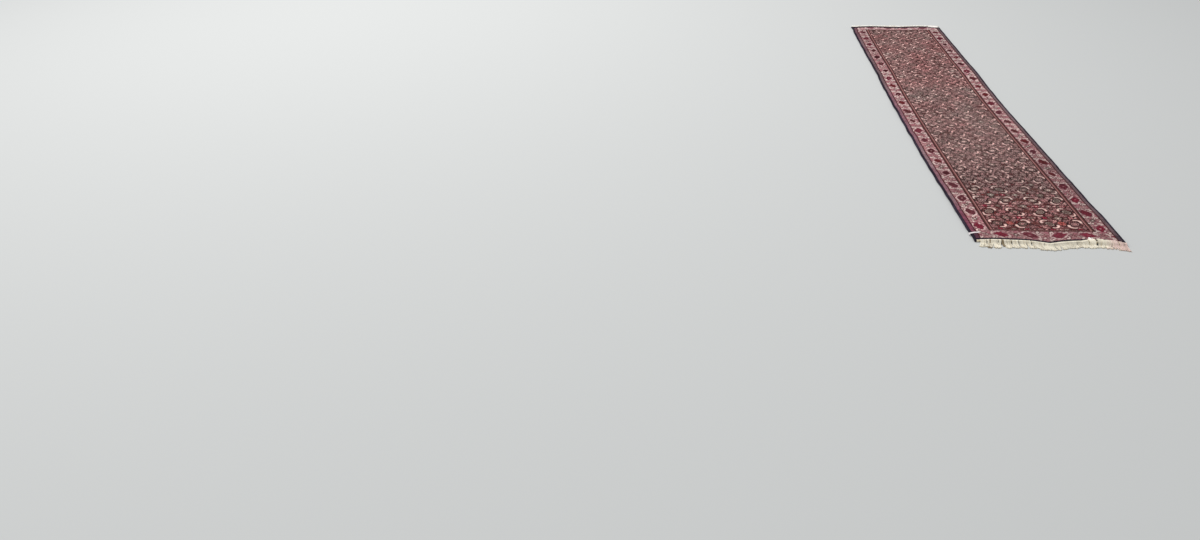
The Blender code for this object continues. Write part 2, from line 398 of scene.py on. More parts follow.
def field(u, v):
    """The ground and its motifs, duller past the near end and worn in the middle."""
    near = smooth(-620.0, -1080.0, v)[..., None]
    ground = mix(BROWN, MAUVE, (0.10 + 0.80 * noise(u / 17.0, v / 23.0, 5))[..., None])
    ground = mix(ground, MAROON, 0.40 * near)
    buds(ground, u, v, 111, BUD_SHADES, INK)
    vines(ground, u, v)
    rosettes(ground, u, v)
    star_flowers(ground, u, v)
    small_flowers(ground, u, v)
    leafed_palmettes(ground, u, v)
    dulled = ground.mean(axis=-1, keepdims=True) * WORN / WORN.mean()
    ground = mix(ground, dulled, 0.55 * smooth(-1180.0, -850.0, v)[..., None])
    worn = smooth(-1150.0, -700.0, v) * smooth(500.0, 0.0, v)
    worn = worn * smooth(0.2, 0.8, noise(u / 60.0, v / 90.0, 8))
    worn = 0.02 + 0.08 * worn - 0.22 * smooth(0.0, 900.0, v)   # less than 0 deepens the dyes
    return abrash(mix(ground, WORN, worn[..., None]), u, v)


def flowering_band(across, along, pitch, seed, crimson):
    """A border of palmettes between leafy scrolls, by place across and along the band."""
    mottle = noise(across / 9.0, along / 13.0, seed)[..., None]
    colour = PINK + (BLUSH - PINK) * mottle + (MAUVE - PINK) * (1.0 - mottle)
    buds(colour, across, along, seed + 30, BORDER_BUD_SHADES, mix(WINE, PINK, 0.3))
    column, row, a, b = cells(across, along, 0.0, pitch / 2, ACROSS_ALL, pitch, seed + 1, 6.0)
    choice = hashed(column, row, seed + 2)
    vine = np.abs(a - 15.0 * np.sin(3 * np.pi * b / pitch))
    put(colour, vine < 4.2, WINE)
    put(colour, vine < 2.0, CREAM)
    for x, y, turn in ((15.0, 21.0, 1.0), (-14.0, 35.0, -1.0)):
        for side in (1.0, -1.0):
            leaf = hook(side * a, side * b, x, y, 9.0, 90.0 - 80.0 * turn, 200.0, 5.4, 1.8)
            put(colour, leaf < 2.8, mix(WINE, MAROON, 0.4))
            put(colour, leaf < 0, pick(choice, CREAM, BLUSH, CREAM))
    bloom = flower(a, b, 9.0, 2.8, 6)
    put(colour, bloom < 2.6, MAROON)
    put(colour, bloom < 0, pick(choice, MAUVE, BLUSH, TAUPE, ROSE))
    put(colour, np.hypot(a, b) < 3.6, pick(choice, CREAM, MADDER, CREAM, MAROON))
    border_palmettes(colour, across, along, pitch, seed + 5, crimson)
    return colour * BORDER_TINT


def border_palmettes(colour, across, along, pitch, seed, crimson):
    """Serrated crimson or brown-red palmettes in cream rings. crimson is the chance that one is crimson."""
    column, row, a, b = cells(across, along, 0.0, 0.0, ACROSS_ALL, pitch, seed, 7.0)
    choice = hashed(column, row, seed + 1)
    is_crimson = hashed(column, row, seed + 4) < crimson
    a = a + 0.16 * b * np.where(choice > 0.5, 1.0, -1.0)
    size = np.where(is_crimson, 1.0, 0.78 + 0.26 * hashed(column, row, seed + 6))
    ring = 0.45 * np.hypot(a / 15.5, b / 24.0) + 0.55 * (np.abs(a) / 18.0 + np.abs(b) / 30.0)
    rough = noise(along / 6.0, across / 6.0, seed + 2) - 0.5
    ring = ring / size + 0.08 * np.cos(7 * np.arctan2(b, a) + 6 * choice) + 0.40 * rough
    brown = pick(hashed(column, row, seed + 7), WINE, MADDER, mix(WINE, MAROON, 0.4), mix(WINE, BROWN, 0.6))
    faded = np.where(crimson > 0.5, 0.35 * (choice > 0.5), 0.65)[..., None]
    body = np.where(is_crimson[..., None], mix(CRIMSON, WINE, faded), brown)
    gap = noise(along / 9.0, across / 6.0, seed + 3)
    put(colour, ring < 1.72, mix(WINE, PINK, 0.55))
    put(colour, (ring > 1.36) & (ring < 1.64) & (gap > 0.38), CREAM)
    put(colour, ring < 1.12, DEEP_WINE)
    put(colour, ring < 0.98, body)
    put(colour, (ring > 0.42) & (ring < 0.60) & (rough < 0.1), DEEP_WINE)
    put(colour, ring < 0.16, pick(choice, BLUSH, MAROON, MADDER, MAROON))


def side_border(u, v):
    """The border down each long side, whose palmettes are mostly crimson near the near end."""
    middle = MM * (GUARD_HALF + BORDER_HALF) / 2
    across = (np.abs(u) - middle) * np.sign(u) + ACROSS_ALL * (u > 0)
    along = v - FIRST_PALMETTE + 17.0 * bell(v, -230.0, 400.0)
    crimson = 0.26 + 0.64 * (np.rint(along / BORDER_PITCH) < 1.0 + 2.0 * (u > 0))
    band = flowering_band(across, along, BORDER_PITCH, 60, crimson)
    band = band + 0.10 * np.maximum(band - BORDER_MEAN, 0.0) * [1.3, 0.9, 1.0]
    contrast = 0.13 + 0.16 * smooth(-200.0, 500.0, v)
    band = band + (band - BORDER_MEAN) * contrast[..., None]
    deeper = 0.12 * (u > 0) * smooth(-300.0, -800.0, v) + 0.07 * (u < 0) * bell(v, -1000.0, 230.0)
    deeper = deeper + 0.015 * smooth(-400.0, -200.0, v) + 0.06 * smooth(500.0, 1100.0, v)
    deeper = deeper - 0.03 * smooth(-1250.0, -1350.0, v)
    return band * (0.903 - deeper)[..., None]


def end_border(u, v):
    """The border across each end: deep and crimson at the near end, pale at the far end."""
    middle = MM * (BORDER_END + EDGE_END) / 2
    across = (np.abs(v) - middle) * 0.82 + ACROSS_ALL * (v > 0)
    crimson = 0.85 * (v < 0) * (1.0 - 0.8 * bell(u, -60.0, 40.0))
    band = flowering_band(across, u - END_BORDER_PITCH / 2, END_BORDER_PITCH, 80, crimson)
    return np.where((v > 0)[..., None], 1.02 * band + [3.0, 10.0, 10.0], 0.85 * band)


def guards(colour, u, v):
    """The dark double line round the field, with a lighter stripe in it."""
    out = np.maximum(np.abs(u) - MM * FIELD_HALF, (np.abs(v) - MM * FIELD_END) * GUARD_SHARE)
    run = np.where(np.abs(u) > MM * FIELD_HALF, v, u)
    put(colour, out > -0.5, mix(NIGHT, MAROON, 0.4))
    put(colour, (out > 4.0) & (out < 10.5), mix(BROWN, ROSE, 0.40))
    put(colour, (out > 5.0) & (out < 9.5) & (run % 9.0 < 4.0), ROSE)
    put(colour, (out > 14.0) & (out < 16.0), BROWN)


def side_stripe(u, v):
    """The plum stripe, which turns raspberry at the near left and is darker at the right."""
    left, right = u < 0, u > 0
    share = smooth(0.42, 0.62, noise(v / 130.0, np.sign(u) + 3.0, 91))
    share = np.maximum(0.35 * share, 0.9 * smooth(-1150.0, -1350.0, v)) * left
    light = 0.84 + 0.40 * noise(u / 4.0, v / 9.0, 92) - 0.16 * smooth(200.0, 500.0, v)
    darker = 0.14 * bell(v, 560.0, 260.0) * left + (0.26 - 0.08 * smooth(-500.0, -100.0, v)) * right
    shade = mix(PLUM, RASPBERRY, share[..., None]) * (light * (1.0 - darker))[..., None]
    return mix(shade, NAVY, 0.4 * smooth(-1480.0, -1505.0, v)[..., None])


def outer_bands(colour, u, v):
    """Outside the border: a dark line, the stripe and the navy edge, and a navy line at each end."""
    side, end = np.abs(u), np.abs(v)
    lighter = 9.0 * (u > 0) * smooth(0.0, 400.0, v)
    put(colour, side > MM * BORDER_HALF, MAROON)
    put(colour, (side > STRIPE_START) & (side < STRIPE_END), side_stripe(u, v))
    put(colour, side > STRIPE_END, NAVY + lighter[..., None])
    put(colour, end > MM * EDGE_END - FAR_LINE_EXTRA * (v > 0), NAVY)


def chart(u, v):
    """The dye of each knot at these places on the straight rug, as sRGB from 0 to 255."""
    colour = field(u, v)
    guards(colour, u, v)
    put(colour, np.abs(u) > MM * GUARD_HALF, side_border(u, v))
    put(colour, np.abs(v) > MM * BORDER_END, end_border(u, v))
    outer_bands(colour, u, v)
    column, row = np.rint(u / (MM * KNOT)), np.rint(v / (MM * KNOT))
    light = 1.0 + 0.16 * (hashed(column, row, 3) - 0.5) + 0.07 * (hashed(0 * column, row, 4) - 0.5)
    return np.clip(colour * light[..., None], 0.0, 255.0)


def linear(colour):
    """sRGB from 0 to 255 as the linear values that a shader takes, with alpha."""
    share = colour / 255.0
    rgb = np.where(share > 0.04045, ((share + 0.055) / 1.055) ** 2.4, share / 12.92)
    return np.concatenate([rgb, np.ones(rgb.shape[:-1] + (1,))], axis=-1)


# ---------- meshes

def new_mesh(name, points, faces, colours, guide, material):
    """A smooth mesh whose points carry a dye, and a guide vector that the weave of its material follows."""
    mesh = bpy.data.meshes.new(name)
    mesh.from_pydata(points.reshape(-1, 3), [], faces)
    mesh.attributes.new("dye", "FLOAT_COLOR", "POINT").data.foreach_set("color", colours.ravel())
    mesh.attributes.new("guide", "FLOAT_VECTOR", "POINT").data.foreach_set("vector", guide.ravel())
    mesh.shade_smooth()
    mesh.materials.append(material)
    mesh.validate()
    obj = bpy.data.objects.new(name, mesh)
    bpy.context.scene.collection.objects.link(obj)
    return obj


def grid_faces(rows, columns, start=0):
    """Faces of a grid of points, numbered row by row."""
    corner = start + np.arange(rows - 1)[:, None] * columns + np.arange(columns - 1)[None, :]
    corner = corner.ravel()
    return np.stack([corner, corner + 1, corner + columns + 1, corner + columns], axis=1)


def even(low, high, spacing):
    """Evenly spaced places from low to high, about this far apart."""
    return np.linspace(low, high, max(2, int(round((high - low) / spacing)) + 1))


def with_skirts(places, before, after):
    """The places with their first or last one repeated, where a skirt hangs down."""
    return np.concatenate([places[:1]] * before + [places] + [places[-1:]] * after)


def hanging_mask(us, vs, left, right, near, far):
    """Which points of a grid hang down, by the sides of it that have a skirt."""
    mask = np.zeros((len(vs), len(us)), bool)
    mask[:, 0] |= left
    mask[:, -1] |= right
    mask[0] |= near
    mask[-1] |= far
    return mask


def flat_guide(u, v):
    return np.stack([u, v, 0 * u], axis=-1)


def pile(name, us, vs, skirts, material):
    """The pile over part of the rug. skirts names those of its sides that are edges of the rug."""
    left, right, near, far = (side in skirts for side in ("left", "right", "near", "far"))
    us, vs = with_skirts(us, left, right), with_skirts(vs, near, far)
    u, v = np.meshgrid(us, vs)
    colours = linear(chart(MM * u, MM * v))
    brightness = colours[..., :3].mean(axis=-1)
    column, row = np.rint(u / KNOT), np.rint(v / KNOT)
    tuft = TUFT * (hashed(column, row, 61) - 0.5) + TUFT * np.clip(brightness / 0.25, 0, 1)
    rim = np.minimum(PILE_HALF - np.abs(u), PILE_END - np.abs(v))
    height = THICKNESS - TUFT + tuft - RIM_DROP * (1.0 - smooth(0.0, RIM_WIDTH, rim))
    height = np.where(hanging_mask(us, vs, left, right, near, far), GROUND, height)
    return new_mesh(name, lay(u, v, height), grid_faces(*u.shape), colours, flat_guide(u, v), material)


PLY_DEPTH = 0.22         # how far the two plies stand out, as a share of the yarn's radius


def square_to(paths):
    """Unit vectors sideways and upwards at each point of the paths, square to them."""
    ahead = np.gradient(paths, axis=1)
    ahead /= np.linalg.norm(ahead, axis=2, keepdims=True)
    across = np.cross(ahead, [0.0, 0.0, 1.0])
    across /= np.maximum(np.linalg.norm(across, axis=2, keepdims=True), 1e-9)
    return across, np.cross(across, ahead)


def tube_faces(count, steps, sides):
    """Faces of this many tubes: their walls, then a cap at both ends of each."""
    first = np.arange(count)[:, None, None] * steps * sides
    corner = first + np.arange(steps - 1)[None, :, None] * sides
    here = np.arange(sides)[None, None, :]
    there = (here + 1) % sides
    walls = [corner + here, corner + sides + here, corner + sides + there, corner + there]
    faces = np.stack(walls, axis=-1).reshape(-1, 4).tolist()
    for start in range(0, count * steps * sides, steps * sides):
        last = start + (steps - 1) * sides
        faces.append(list(range(start, start + sides)))
        faces.append(list(range(last + sides - 1, last - 1, -1)))
    return faces


def tubes(name, paths, radii, sides, twist, colours, material):
    """Yarns along many paths of equally many points, closed at both ends.

    radii holds one value a point, and colours one dye a point. twist is the turns a metre of a two-ply yarn,
    or 0 for a plain one. The dye has painted shade between the plies and a painted highlight on them.
    """
    count, steps = paths.shape[:2]
    across, upward = square_to(paths)
    gaps = np.linalg.norm(np.diff(paths, axis=1), axis=2)
    run = np.concatenate([np.zeros((count, 1)), np.cumsum(gaps, axis=1)], axis=1)[..., None]
    angle = np.linspace(0, 2 * np.pi, sides, endpoint=False)[None, None, :]
    ply = 1.0 + (PLY_DEPTH if twist else 0.0) * np.cos(2 * (angle - 2 * np.pi * twist * run))
    ring = np.cos(angle)[..., None] * across[:, :, None, :]
    ring = ring + np.sin(angle)[..., None] * upward[:, :, None, :]
    points = paths[:, :, None, :] + (radii[..., None] * ply)[..., None] * ring
    points[..., 2] = np.maximum(points[..., 2], FLOOR_CLEARANCE)
    shades = np.broadcast_to(colours[:, :, None, :], points.shape[:3] + (4,)).copy()
    # painted highlight and painted shade: the dye is lighter on the crest of each ply and darker in the
    # grooves between them
    shades[..., :3] *= 0.88 + 0.14 * ply[..., None] ** 2
    guide = np.stack(np.broadcast_arrays(run, angle, ply), axis=-1)
    return new_mesh(name, points, tube_faces(count, steps, sides), shades, guide, material)


# ---------- materials

def cloth_material(name, roughness, sheen):
    """A matt fabric shader that takes its colour from the dye of each point."""
    material = bpy.data.materials.new(name)
    material.use_nodes = True
    tree = material.node_tree
    shader = tree.nodes["Principled BSDF"]
    shader.inputs["Roughness"].default_value = roughness
    shader.inputs["Specular IOR Level"].default_value = 0.05
    shader.inputs["Sheen Weight"].default_value = sheen
    shader.inputs["Sheen Roughness"].default_value = 0.6
    return material, tree, shader


def node(tree, kind, sockets, **settings):
    """A shader node. sockets has a value, or another node's output, for each input that is set."""
    made = tree.nodes.new("ShaderNode" + kind)
    for key, value in settings.items():
        setattr(made, key, value)
    for key, value in sockets.items():
        if isinstance(value, bpy.types.NodeSocket):
            tree.links.new(value, made.inputs[key])
        else:
            made.inputs[key].default_value = value
    return made


def noise_node(tree, scale, detail=3.0):
    """Noise with this many cells a metre."""
    place = node(tree, "TexCoord", {}).outputs["Object"]
    sockets = {"Vector": place, "Scale": scale, "Detail": detail}
    return node(tree, "TexNoise", sockets).outputs["Fac"]


def voronoi_node(tree, spacing, randomness, **settings):
    """One cell for each tuft or thread, at this spacing along the guide's two axes."""
    guide = node(tree, "Attribute", {}, attribute_name="guide").outputs["Vector"]
    sockets = {0: guide, 1: (1 / spacing[0], 1 / spacing[1], 1.0)}
    place = node(tree, "VectorMath", sockets, operation="MULTIPLY").outputs["Vector"]
    sockets = {"Vector": place, "Scale": 1.0, "Randomness": randomness}
    return node(tree, "TexVoronoi", sockets, **settings).outputs["Distance"]


def dyed(tree, shader, *factors):
    """Gives the shader each point's dye, times each value, whose middle range goes from low to high."""
    colour = node(tree, "Attribute", {}, attribute_name="dye").outputs["Color"]
    for value, low, high in factors:
        sockets = {"Value": value, "From Min": 0.3, "From Max": 0.7, "To Min": low, "To Max": high}
        factor = node(tree, "MapRange", sockets).outputs["Result"]
        sockets = {0: colour, "Scale": factor}
        colour = node(tree, "VectorMath", sockets, operation="SCALE").outputs["Vector"]
    tree.links.new(colour, shader.inputs["Base Color"])


def raised(tree, shader, *reliefs):
    """Gives the shader a relief from each height, with its depth in metres and its strength."""
    sockets = {}
    for height, depth, strength in reliefs:
        sockets.update({"Height": height, "Distance": depth, "Strength": strength})
        sockets["Normal"] = node(tree, "Bump", sockets).outputs["Normal"]
    tree.links.new(sockets["Normal"], shader.inputs["Normal"])


def pile_material():
    """Sheared wool: one tuft for each knot, with painted shade between tufts, fine fibres, and soft wear
    over a hand's width.
    """
    material, tree, shader = cloth_material("knotted_wool", 1.0, 0.03)
    tufts = voronoi_node(tree, (KNOT, KNOT), 0.55)
    fibres = noise_node(tree, 1600.0)
    wear = noise_node(tree, 9.0, 4.0)
    # painted highlight and painted shade: the tufts factor makes each tuft lighter in its middle and darker
    # at its edge
    dyed(tree, shader, (fibres, 0.80, 1.20), (wear, 0.93, 1.07), (tufts, 1.10, 0.84))
    raised(tree, shader, (tufts, -0.0009, 0.8), (fibres, 0.0005, 0.7))
    return material


def weave_material(name, roughness, sheen, spacing, depth):
    """A woven or wound surface, with threads at this spacing along the guide's two axes."""
    material, tree, shader = cloth_material(name, roughness, sheen)
    threads = voronoi_node(tree, spacing, 0.3, distance="CHEBYCHEV")
    fibres = noise_node(tree, 2200.0)
    stain = noise_node(tree, 45.0, 4.0)
    dyed(tree, shader, (fibres, 0.86, 1.14), (stain, 0.90, 1.08))
    raised(tree, shader, (threads, -depth, 0.9), (fibres, 0.0003, 0.6))
    return material


def yarn_material(name, roughness, sheen):
    """Spun yarn: its two plies come from the mesh, its fibres and stains from noise."""
    material, tree, shader = cloth_material(name, roughness, sheen)
    fibres = noise_node(tree, 2600.0)
    stain = noise_node(tree, 38.0, 4.0)
    dyed(tree, shader, (fibres, 0.88, 1.12), (stain, 0.88, 1.08))
    raised(tree, shader, (fibres, 0.0004, 0.7))
    return material


# ---------- pieces

IVORY = dye(245, 238, 221)
WHITE = dye(250, 247, 242)
BLEACHED = dye(255, 251, 253)
OATMEAL = dye(214, 198, 160)
BLUSHED = dye(226, 200, 193)
DUN = dye(218, 202, 170)
# dark brown: painted shade in the tassels that stand for shaded gaps, and a little darkening of the others
SHADE_AND_STAIN = dye(104, 84, 56)
# the painted highlight on the crests of the wrapped edges
CREST_HIGHLIGHT = dye(86, 80, 98)
TAPE_WHITE = dye(238, 228, 230)

SIDE_BANDS = ("inner_guard", "main_border", "outer_guard", "edge_band")
END_BANDS = ("inner_guard", "main_border", "edge_band")
BACK_KNOT = 1.3 * KNOT   # spacing of the points of the underside
BACK_COTTON = 0.14       # share of cotton that shows between the knots there
WRAP_TURN = 0.0027       # one turn of the yarn round each side edge
WRAP_SIDES = 10
WEAVE_FALL = 0.0024      # how far the end weave slopes down, and how high its ribs are
WEAVE_RIB = 0.0004


def finish_piece(piece, slot, *stands_for):
    """Puts the piece on the rug's one body and hides the CAD nodes that it stands for. slot, its finish, is
    not used.
    """
    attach(piece, "root")
    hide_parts(*stands_for)
    return piece


def make_pile(material):
    """The field and the side borders in four lengths each, and the two end borders."""
    pieces = []
    across_field = even(-FIELD_HALF, FIELD_HALF, KNOT)
    across_left = even(-PILE_HALF, -FIELD_HALF, KNOT)
    across_right = even(FIELD_HALF, PILE_HALF, KNOT)
    cuts = np.linspace(-FIELD_END, FIELD_END, LENGTHS + 1)
    for number, (start, end) in enumerate(zip(cuts[:-1], cuts[1:]), 1):
        along = even(start, end, KNOT)
        part = pile(f"field_pile_{number}", across_field, along, (), material)
        pieces.append(finish_piece(part, "field_wool", "field_pile"))
        for side, across in (("left", across_left), ("right", across_right)):
            part = pile(f"border_pile_{side}_{number}", across, along, (side,), material)
            bands = [f"{band}_{side}" for band in SIDE_BANDS]
            pieces.append(finish_piece(part, "border_wool", *bands))
    across_all = np.concatenate([across_left[:-1], across_field[:-1], across_right])
    for end, side in (("near", -1), ("far", 1)):
        along = np.sort(side * even(FIELD_END, PILE_END, KNOT))
        part = pile(f"border_pile_{end}", across_all, along, ("left", "right", end), material)
        bands = [f"{band}_{end}" for band in END_BANDS]
        pieces.append(finish_piece(part, "border_wool", *bands))
    return pieces


def make_ground(material):
    """The woven ground in four lengths: its underside, where the knots show from behind, and its edges."""
    pieces = []
    cuts = np.linspace(-PILE_END, PILE_END, LENGTHS + 1)
    for number, (start, end) in enumerate(zip(cuts[:-1], cuts[1:]), 1):
        near, far = number == 1, number == LENGTHS
        us = with_skirts(even(-PILE_HALF, PILE_HALF, BACK_KNOT), True, True)
        vs = with_skirts(even(start, end, BACK_KNOT), near, far)
        u, v = np.meshgrid(us, vs)
        height = np.where(hanging_mask(us, vs, True, True, near, far), GROUND, FLOOR_CLEARANCE)
        colours = mix(linear(chart(MM * u, MM * v)), linear(OATMEAL), BACK_COTTON)
        faces = grid_faces(*u.shape)[:, ::-1]
        points = lay(u, v, height)
        part = new_mesh(f"woven_ground_{number}", points, faces, colours, flat_guide(u, v), material)
        pieces.append(finish_piece(part, "cotton", "woven_ground"))
    return pieces


def make_selvedges(material):
    """Each wrapped edge, as turns of dark wool round a cord, in four lengths, with a painted highlight on
    the crest of each turn.
    """
    pieces = []
    cuts = np.linspace(-WEAVE_END, WEAVE_END, LENGTHS + 1)
    for side, sign in (("left", -1.0), ("right", 1.0)):
        for number, (start, end) in enumerate(zip(cuts[:-1], cuts[1:]), 1):
            v = even(start, end, WRAP_TURN / 4)
            wound = np.abs(np.cos(np.pi * v / WRAP_TURN))
            lump = noise(v / 0.045, sign + 4, 71) + 0.5 * noise(v / 0.012, sign + 4, 72)
            # worn sets, in patches, how strong the painted highlight on the crests is
            worn = smooth(0.55, 0.85, noise(v / 0.06, sign + 8, 73))
            radius = SELVEDGE_RADIUS * (0.78 + 0.14 * wound + 0.20 * lump)
            path = lay(sign * SELVEDGE_U, v, SELVEDGE_RADIUS)
            # painted highlight: the crest of each turn is painted lighter towards slate, and the grooves
            # between turns stay navy as painted shade
            shade = linear(mix(NAVY, CREST_HIGHLIGHT, ((0.10 + 0.45 * worn) * wound)[:, None]))
            name = f"selvedge_{side}_{number}"
            part = tubes(name, path[None], radius[None], WRAP_SIDES, 0.0, shade[None], material)
            pieces.append(finish_piece(part, "navy_wool", f"selvedge_wrap_{side}", f"selvedge_core_{side}"))
    return pieces


def make_end_weaves(material):
    """The narrow cotton weave past the last knots, with a rib for each pair of warps."""
    for end, side in (("near", -1), ("far", 1)):
        us = with_skirts(even(-PILE_HALF, PILE_HALF, KNOT / 2), True, True)
        vs = with_skirts(np.sort(side * even(PILE_END, WEAVE_END, 0.001)), True, True)
        u, v = np.meshgrid(us, vs)
        rib = 0.5 + 0.5 * np.cos(2 * np.pi * u / KNOT)
        share = np.clip((np.abs(v) - PILE_END) / END_WEAVE, 0, 1)
        height = WEAVE_TOP - WEAVE_FALL * share + WEAVE_RIB * rib
        height = np.where(hanging_mask(us, vs, True, True, True, True), FLOOR_CLEARANCE, height)
        colours = linear(mix(DUN, IVORY, noise(u / 0.02, v / 0.004, 101)[..., None]))
        faces = grid_faces(*u.shape)
        part = new_mesh(f"end_weave_{end}", lay(u, v, height), faces, colours, flat_guide(u, v), material)
        finish_piece(part, "cotton", f"end_weave_{end}")


TASSELS = 58             # at each end
STRANDS = 12             # yarns in a tassel
STRAND_RADIUS = 0.0011
STRAND_STEPS = 30
STRAND_SIDES = 6
YARN_TWIST = 70.0        # turns a metre
TASSEL_KNOT = 0.010      # from the last knots of the pile to the tassel's knot
TASSEL_HALF = 0.0041     # half the width of a tassel at its knot
ROOT_SPREAD = 0.0022     # how much wider it is at its root, on each side
FAN_RUN = 0.045          # a tassel fans out over this length past its knot
ON_TOP = 0.0006          # a yarn's middle above what it lies on
PUSHED_BACK = 0.009      # how far some tassels have ridden up over the edge of the pile


def strand_height(t, out, layer, pushed):
    """Height of a tassel's yarns over the end weave, through the knot and down to a loose heap on the floor.

    Also returns how far each point has come down, from 0 to 1.
    """
    start = WEAVE_TOP + ON_TOP + (THICKNESS + ON_TOP - WEAVE_TOP) * pushed
    drop = smooth(END_WEAVE + PUSHED_BACK * pushed, 0.024 + PUSHED_BACK * pushed, out)
    knot = 0.0022 * layer * bell(out, TASSEL_KNOT, 0.0035)
    heap = STRAND_RADIUS + 0.0036 * layer * (1.0 - 0.45 * t)
    return (start + knot + 0.0005 * layer) * (1 - drop) + heap * drop, drop


def strand_paths(rng, u_root, length, lean, side, pushed):
    """One tassel: yarns that run over the end weave, pass through a knot and fan out over the floor.

    pushed is the share of PUSHED_BACK that it has ridden up. Also returns each yarn's place in the heap,
    from 0 at the bottom to 1 on top.
    """
    t = np.linspace(0.0, 1.0, STRAND_STEPS)[None, :]
    fan = np.linspace(-1.0, 1.0, STRANDS)[:, None] + rng.normal(0, 0.15, (STRANDS, 1))
    out = length * rng.uniform(0.88, 1.03, (STRANDS, 1)) * t
    layer = rng.permutation(STRANDS)[:, None] / (STRANDS - 1)
    past = np.clip((out - TASSEL_KNOT) / FAN_RUN, 0, 1.4)
    gather = ROOT_SPREAD * (1 - smooth(0, TASSEL_KNOT, out)) + TASSEL_HALF
    sway = rng.normal(0, 0.0022) * np.sin(2 * np.pi * (rng.uniform(0.8, 1.5) * t + rng.random()))
    swings = rng.uniform(0.8, 2.2, (STRANDS, 1)) * t + rng.random((STRANDS, 1))
    curl = rng.normal(0, 0.0034, (STRANDS, 1)) * past ** 2
    u = u_root + fan * (gather + 0.0022 * past ** 0.8) + lean * past ** 1.3 + curl
    u = u + 0.0013 * np.sin(2 * np.pi * swings) * past + sway * past
    shorter = 1 - 0.06 * rng.random((STRANDS, 1)) * past
    v = side * (PILE_END + 0.0008 - PUSHED_BACK * pushed + out * shorter)
    height, drop = strand_height(t, out, layer, pushed)
    return lay(u, v, height) - [0, 0, 1] * (lift(u, v) * drop)[..., None], layer


def near_length(u):
    """Length of the near tassels: longer at the left, in a lock near the middle and at the right corner."""
    lock = 0.003 * bell(u, -0.032, 0.026)
    return 0.052 - 0.009 * smooth(0.02, 0.10, u) + lock + 0.020 * smooth(0.25, 0.29, u)


def far_length(u):
    """Length of the far tassels, shorter right of the middle."""
    return 0.056 - 0.008 * smooth(0.0, 0.02, u) * smooth(0.16, 0.12, u)


def tassel_dye(shades, u_root, layer, side, stain):
    """The dye of each yarn in a tassel, with painted shade on the lower yarns of the heap. The near fringe
    is duller in its middle.
    """
    low, high, corner = shades
    top = mix(high, corner, smooth(0.22, 0.27, u_root))
    # painted shade: the lower a yarn lies in the heap, the darker its dye
    base = mix(low, top, smooth(-0.15, 0.55, layer)[..., None])
    base = base * (1.0 - 0.045 * bell(u_root, 0.02, 0.09) * (side < 0))
    # stain mixes in the dark brown: strongly for the tassels painted as shade in the gaps, a little at
    # random for the rest
    return linear(mix(base, SHADE_AND_STAIN, stain))


def make_fringe(material, end, side, seed, shades, length_at, ridden, inset, shadowed_tassels):
    """Ivory cotton tassels across one end. Neighbours lean together, as they were swept.

    shades are the dyes of the lowest and the highest yarns and of the right corner; the lowest are darker,
    as painted shade under the heap. ridden is 1 if some have ridden up at the right. inset is how far in
    from the left corner they begin, and the last argument says which tassels are painted dark brown, as
    painted shade in the gaps.
    """
    rng = np.random.default_rng(seed)
    half = PILE_HALF + SELVEDGE_RADIUS
    paths, radii, colours = [], [], []
    for number in range(TASSELS):
        share = (number + 0.5) / TASSELS
        u_root = (2 * share - 1) * half + inset * (1 - share) + rng.normal(0, 0.0017)
        lean = 0.036 * (noise(share * 9.0, seed + 0.5, seed) - 0.5) + rng.normal(0, 0.0065)
        pushed = ridden * smooth(0.13, 0.18, u_root) * smooth(0.300, 0.265, u_root)
        pushed = pushed * rng.uniform(0.75, 1.15)
        length = length_at(u_root) * (0.94 + 0.12 * noise(share * 9.0, seed + 2.5, seed + 1))
        length = length + PUSHED_BACK * pushed + rng.normal(0, 0.0030)
        path, layer = strand_paths(rng, u_root, length, lean, side, pushed)
        out = np.linspace(0.0, length, STRAND_STEPS)[None, :]
        thicker = 1 + 0.45 * bell(out, TASSEL_KNOT, 0.0024)
        paths.append(path)
        radii.append(STRAND_RADIUS * thicker * rng.uniform(0.85, 1.15, (STRANDS, 1)))
        # the listed tassels are painted dark brown, as painted shade in the gaps between tassels
        stain = 0.70 if number in shadowed_tassels else 0.16 * rng.random() ** 3
        colours.append(tassel_dye(shades, u_root, layer, side, stain) + 0 * out[..., None])
    part = tubes(f"fringe_{end}", np.concatenate(paths), np.concatenate(radii), STRAND_SIDES, YARN_TWIST,
                 np.concatenate(colours), material)
    finish_piece(part, "fringe_cotton", f"fringe_{end}")


def make_folded_tassel(material, end, side, seed, strands, spread):
    """Tassels that have flipped back and lie on the pile, over this many times the width of the CAD's."""
    rng = np.random.default_rng(seed)
    low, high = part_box(f"folded_tassel_{end}")
    middle, half = (low[0] + high[0]) / 2 - float(bow(WEAVE_END)), (high[0] - low[0]) / 2
    t = np.linspace(0.0, 1.0, STRAND_STEPS)[None, :]
    fan = np.linspace(-1.0, 1.0, strands)[:, None]
    back = (high[1] - low[1]) * rng.uniform(0.75, 1.0, (strands, 1)) * t
    rise = smooth(0.0, 0.25, t)
    u = middle + spread * fan * half * (0.7 + 0.3 * t) + 0.004 * t * rng.normal(0, 0.6, (strands, 1))
    swings = t * rng.uniform(0.8, 1.8, (strands, 1)) + rng.random((strands, 1))
    u = u + 0.0015 * np.sin(2 * np.pi * swings)
    v = side * (WEAVE_END + 0.0015 - back)
    top = THICKNESS + 0.0014 + 0.0013 * rng.random((strands, 1))
    height = WEAVE_TOP * (1 - rise) + top * rise
    colours = linear(mix(IVORY, BLEACHED, rng.uniform(0.4, 1.0, (strands, 1, 1))) + 0 * t[..., None])
    radii = STRAND_RADIUS * rng.uniform(0.9, 1.15, (strands, 1)) + 0 * t
    name = f"folded_tassel_{end}"
    part = tubes(name, lay(u, v, height), radii, STRAND_SIDES, YARN_TWIST, colours, material)
    finish_piece(part, "fringe_cotton", name)


TAPE_BEND = 0.004        # radius of its bend over the edge
TAPE_WALL = 0.0006


